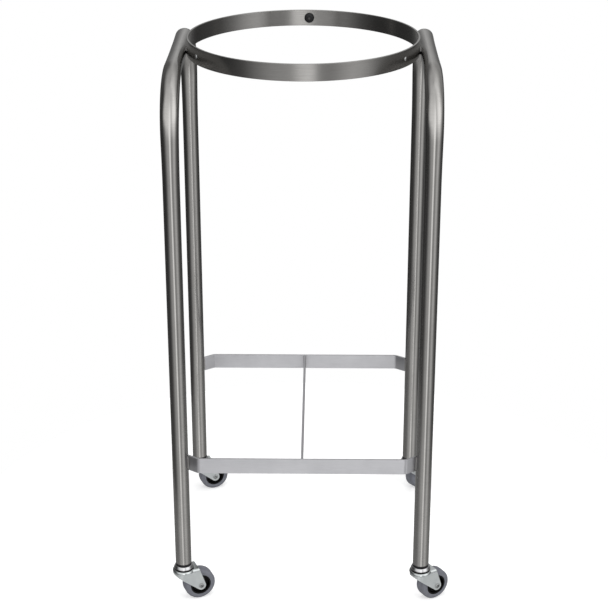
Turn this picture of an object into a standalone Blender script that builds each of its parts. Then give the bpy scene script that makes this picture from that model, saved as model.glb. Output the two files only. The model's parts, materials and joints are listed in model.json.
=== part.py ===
"""A basin stand on four swivel casters, as a clinic uses it.

Two side frames of bent stainless tube carry a ring of flat bar, in which the basin hangs. Three rubber
bumpers on the ring's inner face hold the basin off the steel. A brace of three flat bars, in the shape
of an H, ties the legs low down. Each leg stands on a caster whose stem is held in the tube by a rubber
sleeve.

Units are metres and +Z is up. The floor is at Z = 0, and the origin lies under the middle of the stand's
footprint with its casters turned as they are here. The front faces -Y.
"""
import math

import bmesh
import bpy
from mathutils import Euler, Matrix, Vector

# Side frames: inverted U bends of round tube
TUBE_DIAMETER = 0.0254
TUBE_WALL = 0.0012
SIDE_SPACING = 0.381            # left tube centre to right tube centre
LEG_SPACING = 0.364             # front leg centre to rear leg centre
BEND_RADIUS = 0.085             # at the tube's centre line
BEND_SPREAD = 0.0014            # how far the bending flattens the tube and spreads its sides

# Ring: flat bar on edge, rolled round and set between the side frames
RING_TOP = 0.885                # its top edge over the floor
RING_HEIGHT = 0.0254
RING_THICKNESS = 0.0032
RING_SEAT = 0.0008              # its lower edge over the tube's centre line

# Bumpers: rubber domes riveted to the ring's inner face
BUMPER_ANGLES = {"rear": 87.6, "front_left": 207.8, "front_right": 328.2}  # degrees from +X to +Y
BUMPER_DIAMETER = 0.0156
BUMPER_HEIGHT = 0.0065
BUMPER_EDGE = 0.0012            # straight edge below the dome
BUMPER_RECESS = 0.0015          # depth of the rivet's recess in the dome
RIVET_DIAMETER = 0.0032
RIVET_HEAD_LIP = 0.0014         # head over the shank
RIVET_HEAD_HEIGHT = 0.0016
RIVET_END_LIP = 0.0007          # set end over the shank

# Brace: flat bars on edge
BRACE_HEIGHT = 0.2506           # middle of the bars over the floor
BAR_WIDTH = 0.0254
BAR_THICKNESS = 0.0032
CROSSBAR_BOW = 0.0149           # outer face of a crossbar, out from the leg centres
CROSSBAR_END_RUN = 0.0165       # bent end, from its bend to the tube
CROSSBAR_END_ANGLE = 35.0       # degrees
CROSSBAR_BEND_RADIUS = 0.009

# Casters: direction in which each wheel trails, in degrees from +X towards +Y
HEADINGS = {"front_left": 24.0, "front_right": 32.0, "rear_left": 22.0, "rear_right": 42.0}
FOOTPRINT_SHIFT = (-0.015, -0.012)      # middle of the legs, from the middle of the footprint
TRAIL = 0.0245                  # swivel axis to axle
WHEEL_DIAMETER = 0.0508
TYRE_WIDTH = 0.022
TYRE_THICKNESS = 0.0084
TYRE_SHOULDER = 0.0046
HUB_RIM = 0.0022
HUB_INSET = 0.0006              # hub's rim, in from the tyre's side
HUB_WEB = 0.006                 # thickness of the web
HUB_BOSS_WALL = 0.0026
BUSH_WALL = 0.001
AXLE_DIAMETER = 0.006
AXLE_LIP = 0.0012               # riveted heads over the shank
AXLE_HEAD_HEIGHT = 0.0014

# Fork: pressed from sheet, open to the rear, with a turned-down round crown
FORK_SHEET = 0.002
FORK_SIDE_GAP = 0.00125         # tyre to fork leg
FORK_CROWN_GAP = 0.0047         # tyre to the sheet over it
FORK_FOLD_RADIUS = 0.0032       # outside of the fold
FORK_TIP_RADIUS = 0.0075
FORK_REAR_LEAN = 0.0035         # top of the leg's rear edge, ahead of the axle
CROWN_DIAMETER = 0.036
FORK_FRONT_DEPTH = 0.0054       # fork's front edge under the crown's top
CROWN_RIM = 0.0040              # depth of the crown's rim
CROWN_EDGE_RADIUS = 0.0032
CROWN_RISE = 0.0004             # crown's ball track over the folded sheet

# Swivel head, stem and the sleeve that grips the tube
RACE_DIAMETER = 0.032
RACE_HEIGHT = 0.0074
RACE_DOME = 0.0034              # how far the top draws in
RACE_BULGE = 0.0004             # dome's slope, out from a straight cone
RACE_LIP = 0.0012               # upright part at its lower edge
RACE_WALL = 0.0024
BALL_DIAMETER = 0.0036
BALL_COUNT = 8
CAGE_DIAMETER = 0.0014          # wire between the balls
STEM_DIAMETER = 0.010
STEM_END = 0.005                # thread past the nut
STEM_CHAMFER = 0.001
STEM_HEAD_LIP = 0.0022          # riveted head under the crown
STEM_HEAD_HEIGHT = 0.0025
COLLAR_THICKNESS = 0.0030       # sleeve's collar, under the tube's end
SLEEVE_LENGTH = 0.036           # inside the tube
NUT_HEIGHT = 0.007
NUT_CLEARANCE = 0.0015          # nut's corners to the tube's bore

# Clearances
SEAT_GAP = 0.0003               # between pieces that seat on each other
RUN_GAP = 0.0005                # between pieces that turn on each other
CUT_THROUGH = 4                 # length of a cutting tool, in thicknesses of what it cuts

# Facets
TUBE_SIDES = 18
BEND_STEPS = 6
RING_SIDES = 64
WHEEL_SIDES = 20                # a multiple of four, so that a flat meets the floor
RACE_SIDES = 16
PIN_SIDES = 10
NUT_SIDES = 6
BALL_SIDES = 4
DOME_STEPS = 3
EDGE_STEPS = 2                  # on folds and small radii
FRONT_STEPS = 8                 # round the fork's front
SHARP_ANGLE = math.radians(35.0)

# Places that follow from the dimensions above
tube_radius = TUBE_DIAMETER / 2
tube_bore = tube_radius - TUBE_WALL
wheel_radius = WHEEL_DIAMETER / 2
fork_sheet_top = WHEEL_DIAMETER + FORK_CROWN_GAP + FORK_SHEET
crown_top = fork_sheet_top + CROWN_RISE
crown_radius = CROWN_DIAMETER / 2
race_bottom = crown_top + RUN_GAP
race_top = race_bottom + RACE_HEIGHT
race_radius = RACE_DIAMETER / 2
collar_bottom = race_top + SEAT_GAP
collar_top = collar_bottom + COLLAR_THICKNESS
tube_end = collar_top + SEAT_GAP
sleeve_top = tube_end + SLEEVE_LENGTH
nut_bottom = sleeve_top + SEAT_GAP
nut_top = nut_bottom + NUT_HEIGHT
stem_radius = STEM_DIAMETER / 2
stem_bore = stem_radius + SEAT_GAP
swivel_bore = stem_radius + RUN_GAP
axle_radius = AXLE_DIAMETER / 2
bush_radius = axle_radius + SEAT_GAP + BUSH_WALL
hub_radius = wheel_radius - TYRE_THICKNESS
fork_inside = TYRE_WIDTH / 2 + FORK_SIDE_GAP
fork_outside = fork_inside + FORK_SHEET
top_bar_height = RING_TOP - RING_HEIGHT - RING_SEAT
ring_outer = SIDE_SPACING / 2 - tube_radius - SEAT_GAP
ring_inner = ring_outer - RING_THICKNESS
bumper_radius = BUMPER_DIAMETER / 2
bumper_base = ring_inner * math.cos(math.pi / RING_SIDES) - bumper_radius**2 / (2 * ring_inner) - SEAT_GAP
rivet_radius = RIVET_DIAMETER / 2
rivet_bore = rivet_radius + SEAT_GAP


# Tools for shaping

def finish(name, colour, roughness, metallic=0.0):
    """A plain material of one colour."""
    material = bpy.data.materials.new(name)
    material.use_nodes = True
    shader = material.node_tree.nodes["Principled BSDF"]
    shader.inputs["Base Color"].default_value = (*colour, 1.0)
    shader.inputs["Roughness"].default_value = roughness
    shader.inputs["Metallic"].default_value = metallic
    return material


def to_mesh(name, shape):
    """A mesh from a finished bmesh, with its faces outwards and its round sides shaded smooth."""
    bmesh.ops.remove_doubles(shape, verts=shape.verts[:], dist=1e-6)
    bmesh.ops.recalc_face_normals(shape, faces=shape.faces[:])
    mesh = bpy.data.meshes.new(name)
    shape.to_mesh(mesh)
    shape.free()
    mesh.shade_smooth()
    mesh.set_sharp_from_angle(angle=SHARP_ANGLE)
    return mesh


def add_piece(name, mesh, material, parent, location=(0, 0, 0), rotation=(0, 0, 0)):
    """An object of this mesh and material, placed under its parent."""
    if not mesh.materials:
        mesh.materials.append(material)
    piece = bpy.data.objects.new(name, mesh)
    bpy.context.collection.objects.link(piece)
    piece.parent = parent
    piece.location = location
    piece.rotation_euler = rotation
    return piece


def add_empty(name, parent=None, location=(0, 0, 0), heading=0.0):
    """An empty that carries other pieces, turned about Z."""
    empty = bpy.data.objects.new(name, None)
    bpy.context.collection.objects.link(empty)
    empty.parent = parent
    empty.location = location
    empty.rotation_euler = (0, 0, heading)
    return empty


def combine(piece, operation, name, mesh, location=(0, 0, 0), rotation=(0, 0, 0)):
    """A Boolean on the piece with a hidden tool, which is placed in the piece's own frame."""
    tool = bpy.data.objects.new(name, mesh)
    bpy.context.collection.objects.link(tool)
    tool.parent = piece.parent
    tool.matrix_basis = piece.matrix_basis @ Matrix.LocRotScale(location, Euler(rotation), None)
    tool.hide_render = True
    tool.display_type = "WIRE"
    boolean = piece.modifiers.new(name, "BOOLEAN")
    boolean.operation = operation
    boolean.object = tool


def baked(piece):
    """The piece's mesh with its modifiers applied. The piece and its Boolean tools are removed."""
    bpy.context.view_layer.update()
    depsgraph = bpy.context.evaluated_depsgraph_get()
    mesh = bpy.data.meshes.new_from_object(piece.evaluated_get(depsgraph))
    mesh.name = piece.name
    mesh.shade_smooth()
    mesh.set_sharp_from_angle(angle=SHARP_ANGLE)
    tools = [modifier.object for modifier in piece.modifiers if modifier.type == "BOOLEAN"]
    for done in [piece, *tools]:
        bpy.data.objects.remove(done)
    return mesh


def add_wall(piece, thickness, offset):
    """Thickness on a skin: an offset of -1 is inwards, and 0 is to both sides."""
    wall = piece.modifiers.new("wall", "SOLIDIFY")
    wall.thickness = thickness
    wall.offset = offset
    wall.use_even_offset = True


def turned(name, profile, sides, start=0.0, closed=True):
    """A solid turned about Z from points of radius and height. An open profile ends on the axis."""
    shape = bmesh.new()
    points = [shape.verts.new((radius, 0.0, height)) for radius, height in profile]
    edges = [shape.edges.new(pair) for pair in zip(points, points[1:])]
    if closed:
        edges.append(shape.edges.new((points[-1], points[0])))
    bmesh.ops.spin(shape, geom=points + edges, cent=(0, 0, 0), axis=(0, 0, 1),
                   angle=math.tau, steps=sides, use_merge=True)
    bmesh.ops.rotate(shape, verts=shape.verts[:], cent=(0, 0, 0), matrix=Matrix.Rotation(start, 3, "Z"))
    return to_mesh(name, shape)


def rod(name, radius, length, sides=PIN_SIDES):
    """A plain round bar along Z, centred on its middle."""
    return turned(name, [(0, -length / 2), (radius, -length / 2), (radius, length / 2), (0, length / 2)],
                  sides, closed=False)


def extruded(name, outline, step):
    """A solid from a flat outline of 3D points, drawn out along a step."""
    shape = bmesh.new()
    face = shape.faces.new([shape.verts.new(point) for point in outline])
    grown = bmesh.ops.extrude_face_region(shape, geom=[face])
    moved = [item for item in grown["geom"] if isinstance(item, bmesh.types.BMVert)]
    bmesh.ops.translate(shape, verts=moved, vec=step)
    return to_mesh(name, shape)


def arc(centre, radius, first, last, steps):
    """Points on an arc between two angles, both ends included. Two radii make it a part of an ellipse."""
    across, along = radius if isinstance(radius, tuple) else (radius, radius)
    angles = [first + (last - first) * step / steps for step in range(steps + 1)]
    return [(centre[0] + across * math.cos(a), centre[1] + along * math.sin(a)) for a in angles]


def rounded(points, radius, steps):
    """An open path of flat points with its corners rounded to a radius."""
    path = [points[0]]
    for before, corner, after in zip(points, points[1:], points[2:]):
        back = (Vector(before) - Vector(corner)).normalized()
        ahead = (Vector(after) - Vector(corner)).normalized()
        half = back.angle(ahead) / 2
        centre = Vector(corner) + (back + ahead).normalized() * (radius / math.sin(half))
        first = Vector(corner) + back * (radius / math.tan(half)) - centre
        last = Vector(corner) + ahead * (radius / math.tan(half)) - centre
        start = math.atan2(first.y, first.x)
        sweep = math.atan2(first.x * last.y - first.y * last.x, first.dot(last))
        path += arc(centre, radius, start, start + sweep, steps)
    path.append(points[-1])
    return path


def tangent_angle(point, centre, radius, side):
    """Where a line from a point touches a circle, as an angle about its centre. Side is 1 or -1."""
    away = Vector(point) - Vector(centre)
    return math.atan2(away.y, away.x) + side * math.acos(radius / away.length)


# Side frame: one length of tube, up the front leg, over the top and down the rear leg

def side_frame_mesh():
    """The tube's outer skin about the plane X = 0, open at both ends and flattened in its bends."""
    shape = bmesh.new()
    bmesh.ops.create_circle(shape, segments=TUBE_SIDES, radius=tube_radius)
    bmesh.ops.translate(shape, verts=shape.verts[:], vec=(0, -LEG_SPACING / 2, tube_end))

    def run(rim, step):
        grown = bmesh.ops.extrude_edge_only(shape, edges=rim)["geom"]
        moved = [item for item in grown if isinstance(item, bmesh.types.BMVert)]
        bmesh.ops.translate(shape, verts=moved, vec=step)
        edges = [item for item in grown if isinstance(item, bmesh.types.BMEdge)]
        return [edge for edge in edges if set(edge.verts) <= set(moved)]

    def bend(rim, centre):
        swept = bmesh.ops.spin(shape, geom=rim, cent=centre, axis=(1, 0, 0),
                               angle=-math.pi / 2, steps=BEND_STEPS)
        return [item for item in swept["geom_last"] if isinstance(item, bmesh.types.BMEdge)]

    bend_height = top_bar_height - BEND_RADIUS
    bend_place = LEG_SPACING / 2 - BEND_RADIUS
    rim = run(shape.edges[:], (0, 0, bend_height - tube_end))
    rim = bend(rim, (0, -bend_place, bend_height))
    rim = run(rim, (0, 2 * bend_place, 0))
    rim = bend(rim, (0, bend_place, bend_height))
    run(rim, (0, 0, tube_end - bend_height))
    for vert in shape.verts:
        rise = vert.co.z - bend_height
        reach = abs(vert.co.y) - bend_place
        if rise > 0 and reach > 0:
            turn = math.atan2(rise, reach)
            share = BEND_SPREAD / tube_radius * math.sin(2 * turn)
            outwards = Vector((0, math.copysign(math.cos(turn), vert.co.y), math.sin(turn)))
            vert.co.x *= 1 + share
            vert.co -= outwards * share * (math.hypot(rise, reach) - BEND_RADIUS)
    return to_mesh("side_frame", shape)


# Ring, bumpers and rivets

def ring_mesh():
    """Flat bar on edge, rolled into a hoop and welded shut."""
    low = -RING_HEIGHT / 2
    high = RING_HEIGHT / 2
    profile = [(ring_inner, low), (ring_outer, low), (ring_outer, high), (ring_inner, high)]
    return turned("basin_ring", profile, RING_SIDES)


def bumper_mesh():
    """A rubber dome over a short straight edge, with a stepped hole for its rivet."""
    recess = rivet_bore + RIVET_END_LIP
    floor = BUMPER_HEIGHT - BUMPER_RECESS
    dome = arc((recess, BUMPER_EDGE), (bumper_radius - recess, BUMPER_HEIGHT - BUMPER_EDGE),
               0, math.pi / 2, DOME_STEPS)
    profile = [(rivet_bore, 0), (bumper_radius, 0), *dome, (recess, floor), (rivet_bore, floor)]
    return turned("bumper", profile, RACE_SIDES)


def rivet_mesh():
    """A rivet from its domed head outside the ring to its set end in the bumper's recess."""
    seat = bumper_base - ring_outer - SEAT_GAP
    end = BUMPER_HEIGHT - BUMPER_RECESS + SEAT_GAP
    head = arc((0, seat), (rivet_radius + RIVET_HEAD_LIP, RIVET_HEAD_HEIGHT), -math.pi / 2, 0, DOME_STEPS)
    shank = [(rivet_radius, seat), (rivet_radius, end)]
    end_top = end + RIVET_END_LIP
    set_end = [(rivet_radius + RIVET_END_LIP, end), (rivet_radius, end_top), (0, end_top)]
    return turned("rivet", head + shank + set_end, PIN_SIDES, closed=False)


# Brace

def crossbar_mesh():
    """The front crossbar's middle surface, with the leg centres on Y = 0. Its ends run into the tubes."""
    reach = SIDE_SPACING / 2 - tube_radius - CROSSBAR_END_RUN
    run_y = BAR_THICKNESS / 2 - CROSSBAR_BOW
    angle = math.radians(CROSSBAR_END_ANGLE)
    along = Vector((math.cos(angle), math.sin(angle)))
    end = Vector((reach, run_y)) + along * along.dot((SIDE_SPACING / 2 - reach, -run_y))
    corners = [(-end.x, end.y), (-reach, run_y), (reach, run_y), (end.x, end.y)]
    shape = bmesh.new()
    points = [shape.verts.new((x, y, -BAR_WIDTH / 2)) for x, y in
              rounded(corners, CROSSBAR_BEND_RADIUS, DOME_STEPS)]
    edges = [shape.edges.new(pair) for pair in zip(points, points[1:])]
    grown = bmesh.ops.extrude_edge_only(shape, edges=edges)["geom"]
    moved = [item for item in grown if isinstance(item, bmesh.types.BMVert)]
    bmesh.ops.translate(shape, verts=moved, vec=(0, 0, BAR_WIDTH))
    return to_mesh("crossbar", shape)


def centre_bar_mesh():
    """The bar between the two crossbars' inner faces."""
    length = LEG_SPACING + 2 * (CROSSBAR_BOW - BAR_THICKNESS - SEAT_GAP)
    shape = bmesh.new()
    bmesh.ops.create_cube(shape, size=1.0)
    bmesh.ops.scale(shape, verts=shape.verts[:], vec=(BAR_THICKNESS, length, BAR_WIDTH))
    return to_mesh("centre_bar", shape)


# Caster: fixed pieces about the leg's axis, with heights from the floor

def sleeve_mesh():
    """The rubber sleeve that is squeezed to grip the tube, with the collar on which the tube stands."""
    grip = tube_bore - SEAT_GAP
    profile = [(stem_bore, collar_bottom), (tube_radius, collar_bottom), (tube_radius, collar_top),
               (grip, collar_top), (grip, sleeve_top), (stem_bore, sleeve_top)]
    return turned("stem_sleeve", profile, RACE_SIDES)


def stem_mesh():
    """The stem, from its riveted head under the crown to its thread's end in the tube."""
    head_top = fork_sheet_top - FORK_SHEET - RUN_GAP
    head_bottom = head_top - STEM_HEAD_HEIGHT
    head_radius = stem_radius + STEM_HEAD_LIP
    top = nut_top + STEM_END
    head = arc((stem_radius, head_top), (STEM_HEAD_LIP, STEM_HEAD_HEIGHT), -math.pi / 2, 0, EDGE_STEPS)
    shank = [(stem_radius, head_top), (stem_radius, top - STEM_CHAMFER), (stem_radius - STEM_CHAMFER, top)]
    return turned("stem", [(0, head_bottom), *head, *shank, (0, top)], PIN_SIDES, closed=False)


def nut_mesh():
    """The hexagon nut that squeezes the sleeve."""
    corner = tube_bore - NUT_CLEARANCE
    profile = [(0, nut_bottom), (corner, nut_bottom), (corner, nut_top), (0, nut_top)]
    nut = add_piece("stem_nut", turned("stem_nut", profile, NUT_SIDES, closed=False), bright_zinc, None)
    thread = rod("thread", stem_bore, CUT_THROUGH * NUT_HEIGHT)
    combine(nut, "DIFFERENCE", "thread", thread, (0, 0, nut_bottom))
    return baked(nut)


def race_mesh():
    """The domed upper race, a cup over the ring of balls."""
    ceiling = crown_top + BALL_DIAMETER + 2 * SEAT_GAP
    inside = race_radius - RACE_WALL
    dome_height = RACE_HEIGHT - RACE_LIP
    slope = math.atan2(RACE_DOME, dome_height)
    dome = []
    for step in range(DOME_STEPS + 1):
        share = step / DOME_STEPS
        bulge = RACE_BULGE * math.sin(math.pi * share)
        dome.append((race_radius - RACE_DOME * (1 - share) + bulge * math.cos(slope),
                     race_top - dome_height * share + bulge * math.sin(slope)))
    profile = [(stem_bore, ceiling), (stem_bore, race_top), *dome, (race_radius, race_bottom),
               (inside, race_bottom), (inside, ceiling)]
    return turned("upper_race", profile, RACE_SIDES)


# Caster: swivelling pieces, with the swivel axis on Z and the wheel trailing towards +X

def ball_ring_mesh():
    """Balls strung on a wire cage, one closed bead after another round the track."""
    ball = BALL_DIAMETER / 2
    wire = CAGE_DIAMETER / 2
    track = race_radius - RACE_WALL - RUN_GAP - ball
    neck = math.sqrt(ball**2 - wire**2)
    belly = math.sqrt(ball**2 - (ball / 2)**2)
    beads = [(-neck, wire), (-ball / 2, belly), (ball / 2, belly), (neck, wire)]
    shape = bmesh.new()
    loops = []
    for index in range(BALL_COUNT):
        for offset, radius in beads:
            section = bmesh.ops.create_circle(shape, segments=BALL_SIDES, radius=radius)["verts"]
            round_track = Matrix.Rotation(math.tau * index / BALL_COUNT + offset / track, 4, "Z")
            on_track = Matrix.Translation((track, 0, crown_top + SEAT_GAP + ball))
            upright = Matrix.Rotation(math.pi / 2, 4, "X")
            bmesh.ops.transform(shape, matrix=round_track @ on_track @ upright, verts=section)
            loops.append(section)
    for first, second in zip(loops, loops[1:] + loops[:1]):
        for side in range(BALL_SIDES):
            ahead = (side + 1) % BALL_SIDES
            shape.faces.new((first[side], first[ahead], second[ahead], second[side]))
    return to_mesh("ball_ring", shape)


def fork_block(name, half_width, front, rear, top, fold):
    """A block with a round front and a folded top edge: the fork's outside, or the space in it."""
    low = wheel_radius - 2 * FORK_TIP_RADIUS
    nose = arc((front + half_width, 0), half_width, math.pi / 2, 3 * math.pi / 2, FRONT_STEPS)
    outline = [(rear, half_width), *nose, (rear, -half_width)]
    mesh = extruded(name, [(x, y, low) for x, y in outline], (0, 0, top - low))
    shape = bmesh.new()
    shape.from_mesh(mesh)
    rim = [edge for edge in shape.edges
           if all(vert.co.z > top - SEAT_GAP for vert in edge.verts)
           and any(vert.co.x < rear - SEAT_GAP for vert in edge.verts)]
    bmesh.ops.bevel(shape, geom=rim, offset=fold, segments=EDGE_STEPS, profile=0.5, affect="EDGES")
    return to_mesh(name, shape)


def fork_mesh():
    """The pressed fork: a hood of sheet, cut to its side outline, with its crown and holes."""
    tip = (TRAIL, wheel_radius)
    rear = TRAIL + 2 * FORK_TIP_RADIUS
    far = CUT_THROUGH * fork_outside
    outside = fork_block("fork", fork_outside, -crown_radius, rear, fork_sheet_top, FORK_FOLD_RADIUS)
    inside = fork_block("hollow", fork_inside, FORK_SHEET - crown_radius, rear + far,
                        fork_sheet_top - FORK_SHEET, FORK_FOLD_RADIUS - FORK_SHEET)
    rear_top = (TRAIL - FORK_REAR_LEAN, fork_sheet_top + FORK_SHEET)
    front_low = (-crown_radius - FORK_SHEET, crown_top - FORK_FRONT_DEPTH)
    front_top = (-crown_radius - FORK_SHEET, fork_sheet_top + FORK_SHEET)
    rear_touch = tangent_angle(rear_top, tip, FORK_TIP_RADIUS, -1)
    front_touch = tangent_angle(front_low, tip, FORK_TIP_RADIUS, 1) - math.tau
    toe = arc(tip, FORK_TIP_RADIUS, rear_touch, front_touch, 2 * DOME_STEPS)
    outline = [front_top, rear_top, *toe, front_low]
    side = extruded("side", [(x, -far, z) for x, z in outline], (0, 2 * far, 0))
    edge = CROWN_EDGE_RADIUS
    rim_low = crown_top - CROWN_RIM
    sheet_low = crown_top - FORK_SHEET
    crown_edge = arc((crown_radius - edge, crown_top - edge), edge, 0, math.pi / 2, DOME_STEPS)
    crown = turned("crown", [(swivel_bore, sheet_low), (crown_radius - FORK_SHEET, sheet_low),
                             (crown_radius - FORK_SHEET, rim_low), (crown_radius, rim_low), *crown_edge,
                             (swivel_bore, crown_top)], RACE_SIDES)
    fork = add_piece("fork", outside, bright_zinc, None)
    combine(fork, "DIFFERENCE", "hollow", inside)
    combine(fork, "INTERSECT", "side", side)
    combine(fork, "UNION", "crown", crown)
    swivel_hole = rod("swivel_hole", swivel_bore, far)
    combine(fork, "DIFFERENCE", "swivel_hole", swivel_hole, (0, 0, fork_sheet_top))
    axle_hole = rod("axle_hole", axle_radius + SEAT_GAP, far)
    combine(fork, "DIFFERENCE", "axle_hole", axle_hole, (TRAIL, 0, wheel_radius), (math.pi / 2, 0, 0))
    return baked(fork)


# Caster: the wheel and its axle, with the axle on Z

def axle_mesh():
    """The axle, riveted over at both ends."""
    seat = fork_outside + SEAT_GAP
    upper = arc((axle_radius, seat), (AXLE_LIP, AXLE_HEAD_HEIGHT), 0, math.pi / 2, EDGE_STEPS)
    half = [(axle_radius, seat), *upper, (0, seat + AXLE_HEAD_HEIGHT)]
    profile = [(radius, -height) for radius, height in reversed(half)] + half
    return turned("axle", profile, PIN_SIDES, closed=False)


def bush_mesh():
    """The sleeve on the axle that keeps the fork's legs apart."""
    half = fork_inside - SEAT_GAP
    bore = axle_radius + SEAT_GAP
    profile = [(bore, -half), (bush_radius, -half), (bush_radius, half), (bore, half)]
    return turned("axle_bush", profile, PIN_SIDES)


def hub_mesh():
    """The moulded hub: a boss on the bush, a thin web and a rim under the tyre."""
    bore = bush_radius + RUN_GAP
    boss = bore + HUB_BOSS_WALL
    outer = hub_radius - SEAT_GAP
    boss_half = fork_inside - RUN_GAP
    rim_half = TYRE_WIDTH / 2 - HUB_INSET
    web_half = HUB_WEB / 2
    half = [(bore, boss_half), (boss, boss_half), (boss, web_half), (outer - HUB_RIM, web_half),
            (outer - HUB_RIM, rim_half), (outer, rim_half)]
    profile = [(radius, -height) for radius, height in half] + half[::-1]
    return turned("hub", profile, WHEEL_SIDES, start=math.pi / WHEEL_SIDES)


def tyre_mesh():
    """The rubber tyre, with rounded shoulders. Its flats lie on the wheel's true radius."""
    tread = wheel_radius / math.cos(math.pi / WHEEL_SIDES)
    half_width = TYRE_WIDTH / 2
    shoulder = arc((tread - TYRE_SHOULDER, half_width - TYRE_SHOULDER), TYRE_SHOULDER,
                   math.pi / 2, 0, EDGE_STEPS)
    half = [(hub_radius, half_width), *shoulder]
    profile = half + [(radius, -height) for radius, height in reversed(half)]
    return turned("tyre", profile, WHEEL_SIDES, start=math.pi / WHEEL_SIDES)


# Start from an empty scene
for old in list(bpy.data.objects):
    bpy.data.objects.remove(old)

# Finishes
brushed_steel = finish("brushed_steel", (0.47, 0.46, 0.44), 0.32, 1.0)
satin_steel = finish("satin_steel", (0.52, 0.52, 0.53), 0.42, 1.0)
bright_zinc = finish("bright_zinc", (0.56, 0.58, 0.58), 0.30, 1.0)
chrome = finish("chrome", (0.62, 0.62, 0.63), 0.08, 1.0)
grey_rubber = finish("grey_rubber", (0.20, 0.20, 0.23), 0.65)
black_rubber = finish("black_rubber", (0.015, 0.015, 0.016), 0.55)
black_plastic = finish("black_plastic", (0.012, 0.012, 0.013), 0.40)

# The stand's own frame: the middle of the legs, on the floor
stand = add_empty("stand", location=(*FOOTPRINT_SHIFT, 0))

# Side frames
frame_skin = side_frame_mesh()
for name, side_x in (("left_side_frame", -SIDE_SPACING / 2), ("right_side_frame", SIDE_SPACING / 2)):
    side_frame = add_piece(name, frame_skin, brushed_steel, stand, (side_x, 0, 0))
    add_wall(side_frame, TUBE_WALL, -1)

# Ring with its bumpers and rivets
ring_place = (0, 0, RING_TOP - RING_HEIGHT / 2)
ring = add_piece("basin_ring", ring_mesh(), brushed_steel, stand, ring_place)
bumper = bumper_mesh()
rivet = rivet_mesh()
for name, degrees in BUMPER_ANGLES.items():
    angle = math.radians(degrees)
    inwards = (0, -math.pi / 2, angle)
    base = Vector((bumper_base * math.cos(angle), bumper_base * math.sin(angle), 0))
    rivet_hole = rod("rivet_hole", rivet_bore, CUT_THROUGH * RING_THICKNESS)
    combine(ring, "DIFFERENCE", f"{name}_rivet_hole", rivet_hole, base, inwards)
    add_piece(f"{name}_bumper", bumper, black_rubber, stand, base + Vector(ring_place), inwards)
    add_piece(f"{name}_bumper_rivet", rivet, bright_zinc, stand, base + Vector(ring_place), inwards)

# Brace
for name, leg_y, turn in (("front_crossbar", -LEG_SPACING / 2, 0.0),
                          ("rear_crossbar", LEG_SPACING / 2, math.pi)):
    crossbar = add_piece(name, crossbar_mesh(), satin_steel, stand, (0, leg_y, BRACE_HEIGHT), (0, 0, turn))
    add_wall(crossbar, BAR_THICKNESS, 0)
    for side_x in (-SIDE_SPACING / 2, SIDE_SPACING / 2):
        cope = rod("cope", tube_radius + SEAT_GAP, CUT_THROUGH * BAR_WIDTH, TUBE_SIDES)
        combine(crossbar, "DIFFERENCE", f"{name}_cope", cope, (side_x, 0, 0))
add_piece("centre_bar", centre_bar_mesh(), satin_steel, stand, (0, 0, BRACE_HEIGHT))

# Casters
sleeve = sleeve_mesh()
stem = stem_mesh()
nut = nut_mesh()
race = race_mesh()
ball_ring = ball_ring_mesh()
fork = fork_mesh()
axle = axle_mesh()
bush = bush_mesh()
hub = hub_mesh()
tyre = tyre_mesh()
across = (math.pi / 2, 0, 0)
for corner, degrees in HEADINGS.items():
    leg_x = SIDE_SPACING / 2 if corner.endswith("right") else -SIDE_SPACING / 2
    leg_y = -LEG_SPACING / 2 if corner.startswith("front") else LEG_SPACING / 2
    leg = (leg_x, leg_y, 0)
    add_piece(f"{corner}_stem_sleeve", sleeve, black_rubber, stand, leg)
    add_piece(f"{corner}_stem", stem, bright_zinc, stand, leg)
    add_piece(f"{corner}_stem_nut", nut, bright_zinc, stand, leg)
    add_piece(f"{corner}_upper_race", race, chrome, stand, leg)
    swivel = add_empty(f"{corner}_swivel", stand, leg, math.radians(degrees))
    add_piece(f"{corner}_ball_ring", ball_ring, bright_zinc, swivel)
    add_piece(f"{corner}_fork", fork, bright_zinc, swivel)
    wheel = add_empty(f"{corner}_wheel", swivel, (TRAIL, 0, wheel_radius))
    add_piece(f"{corner}_axle", axle, bright_zinc, wheel, rotation=across)
    add_piece(f"{corner}_axle_bush", bush, bright_zinc, wheel, rotation=across)
    add_piece(f"{corner}_hub", hub, black_plastic, wheel, rotation=across)
    add_piece(f"{corner}_tyre", tyre, grey_rubber, wheel, rotation=across)
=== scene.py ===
"""The looks of the basin stand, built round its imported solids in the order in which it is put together.

Units are metres and +Z is up, in the frame of the solids: the floor is at Z = 0 and the front faces -Y.
"""
import json
import math

import bmesh
import bpy
from mathutils import Matrix, Vector


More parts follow.
